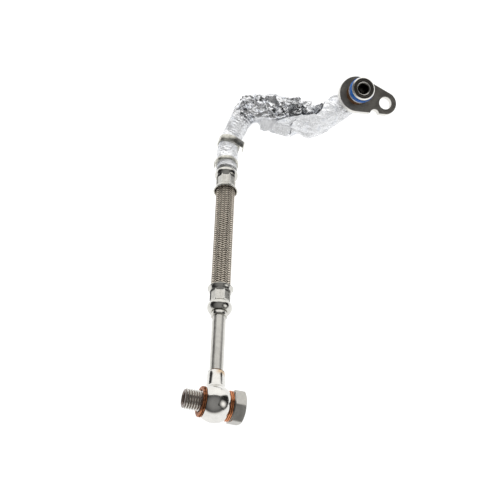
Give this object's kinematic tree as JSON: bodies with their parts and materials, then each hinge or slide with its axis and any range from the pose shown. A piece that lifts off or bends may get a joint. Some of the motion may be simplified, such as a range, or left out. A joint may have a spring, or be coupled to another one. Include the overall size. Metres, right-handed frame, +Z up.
{
  "type": "turbo oil feed line",
  "caption": "Oil feed line for a turbocharger: banjo fitting with hollow bolt, braided hose, foil-sleeved bent tube and a bolt-on flange with a sealed spigot.",
  "frame": {"origin": "under the middle of the line's box, on the surface that it rests on", "axes": "+Y from the banjo end along the hose, +X towards the flange, +Z up"},
  "size_m": [0.132, 0.2508, 0.0425],
  "materials": {
    "polished_steel": "polished",
    "satin_steel": "satin, with fine turning marks",
    "copper": "bright copper with darker folds",
    "braze": "brown filler metal",
    "drawn_tube": "drawn tube, smooth",
    "braid_wire": "woven wire",
    "liner": "matt black",
    "foil": "crumpled foil",
    "strap_steel": "dull strip",
    "dark_plate": "dark satin",
    "dark_spigot": "turned, dark",
    "blue_seal": "blue rubber"
  },
  "bodies": {
    "root": {"banjo_body": "polished_steel", "banjo_bolt": "satin_steel", "washer_head_side": "copper", "washer_thread_side": "copper", "neck_braze": "braze", "lower_tube": "drawn_tube", "lower_nipple": "satin_steel", "lower_ferrule": "satin_steel", "hose_liner": "liner", "hose_braid": "braid_wire", "upper_ferrule": "satin_steel", "upper_nipple": "satin_steel", "bent_tube": "drawn_tube", "foil_sleeve_main": "foil", "foil_sleeve_flange_end": "foil", "tie_band_lower": "strap_steel", "tie_band_upper": "strap_steel", "flange_plate": "dark_plate", "spigot": "dark_spigot", "flange_braze": "braze", "o_ring": "blue_seal"}
  },
  "joints": []
}
